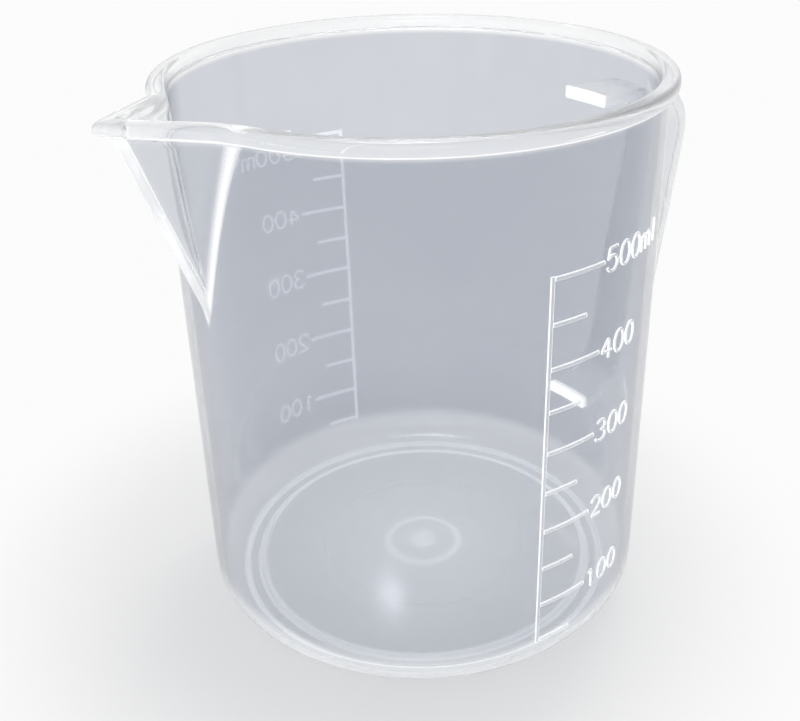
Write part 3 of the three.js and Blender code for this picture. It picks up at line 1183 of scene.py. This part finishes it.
floor_half = 4.0
floor_drop = 0.1 * mm
shadow_middle = (-9 * mm, 7 * mm, 0)
shadow_reach = 45 * mm
white_from = 100 * mm
floor_mesh = bpy.data.meshes.new("studio_floor")
floor_mesh.from_pydata(
    [(x, y, 0) for x, y in ((-1, -1), (1, -1), (1, 1), (-1, 1))], [], [(0, 1, 2, 3)]
)
floor_mesh.transform(Matrix.Translation((0, 0, -floor_drop)) @ Matrix.Scale(floor_half, 4))
studio_floor = bpy.data.objects.new("studio_floor", floor_mesh)
bpy.context.scene.collection.objects.link(studio_floor)
floor_paint = bpy.data.materials.new("pale_floor")
floor_paint.use_nodes = True
floor_tree = floor_paint.node_tree
floor_shader = floor_tree.nodes["Principled BSDF"]
floor_shader.inputs["Base Color"].default_value = (0.77, 0.77, 0.775, 1)
floor_shader.inputs["Roughness"].default_value = 0.7
floor_spot = floor_tree.nodes.new("ShaderNodeTexCoord").outputs["Object"]
floor_away = add_node(
    floor_tree,
    "ShaderNodeVectorMath",
    {0: floor_spot, 1: shadow_middle},
    operation="DISTANCE",
)
floor_fade = add_node(
    floor_tree,
    "ShaderNodeMapRange",
    {"Value": floor_away.outputs["Value"], "From Min": shadow_reach, "From Max": white_from},
    interpolation_type="SMOOTHSTEP",
)
floor_seen = seen_by_eye(floor_tree)
white = add_node(floor_tree, "ShaderNodeEmission", {"Color": (1, 1, 1, 1), "Strength": 0.97})
whiteness = calc(floor_tree, "MULTIPLY", floor_fade.outputs[0], floor_seen)
faded = blended(floor_tree, whiteness, floor_shader.outputs[0], white.outputs[0])
feed(floor_tree, floor_tree.nodes["Material Output"].inputs["Surface"], faded)
floor_mesh.materials.append(floor_paint)

room = bpy.data.worlds.new("white_room")
bpy.context.scene.world = room
room.use_nodes = True
room_tree = room.node_tree
seen = seen_by_eye(room_tree)
ambient = 0.45
strength = calc(room_tree, "ADD", calc(room_tree, "MULTIPLY", seen, 1 - ambient), ambient)
feed(room_tree, room_tree.nodes["Background"].inputs["Strength"], strength)
room_tree.nodes["Background"].inputs["Color"].default_value = (1, 1, 1, 1)


def softbox(name, place, target, width, height, power):
    lamp = bpy.data.lights.new(name, "AREA")
    lamp.shape = "RECTANGLE"
    lamp.size = width
    lamp.size_y = height
    lamp.energy = power
    holder = bpy.data.objects.new(name, lamp)
    bpy.context.scene.collection.objects.link(holder)
    holder.location = place
    holder.rotation_euler = (Vector(target) - Vector(place)).to_track_quat("-Z", "Y").to_euler()
    return holder


middle = (0, 0, 0.05)
near_floor = (0, 0, 0.02)
softbox("top_softbox", place=(0.0, 0.1, 1.2), target=middle, width=0.35, height=0.35, power=2.4)
key = softbox("key_softbox", place=(1.0, 0.58, 0.85), target=middle, width=0.6, height=0.6, power=15)
softbox("front_softbox", place=(-0.9, -1.1, 0.45), target=middle, width=0.9, height=0.7, power=2)
softbox("back_lamp", place=(0.62, 0.92, 0.97), target=near_floor, width=0.022, height=0.022, power=0.9)
key.visible_glossy = False
key.visible_transmission = False

# Light runs a long way inside clear plastic before it comes out again
light_paths = bpy.context.scene.cycles
light_paths.max_bounces = 32
light_paths.glossy_bounces = 32
light_paths.transmission_bounces = 32

# Camera: its place, turn and lens were solved from the outlines, the rim and the marks in the photo
camera_data = bpy.data.cameras.new("photo_camera")
camera = bpy.data.objects.new("photo_camera", camera_data)
bpy.context.scene.collection.objects.link(camera)
right = Vector((0.78819, -0.61527, -0.01462))
up = Vector((0.27574, 0.33180, 0.90215))
backward = right.cross(up)
camera_turn = Matrix((right, up, backward)).transposed().to_4x4()
camera.matrix_world = Matrix.Translation((-0.12350, -0.15789, 0.15517)) @ camera_turn
camera_data.lens = 48.964
camera_data.sensor_width = 36
camera_data.shift_x = -0.0354
camera_data.shift_y = -0.0757
camera_data.clip_start = 0.01
bpy.context.scene.camera = camera
bpy.context.scene.view_settings.view_transform = "Standard"
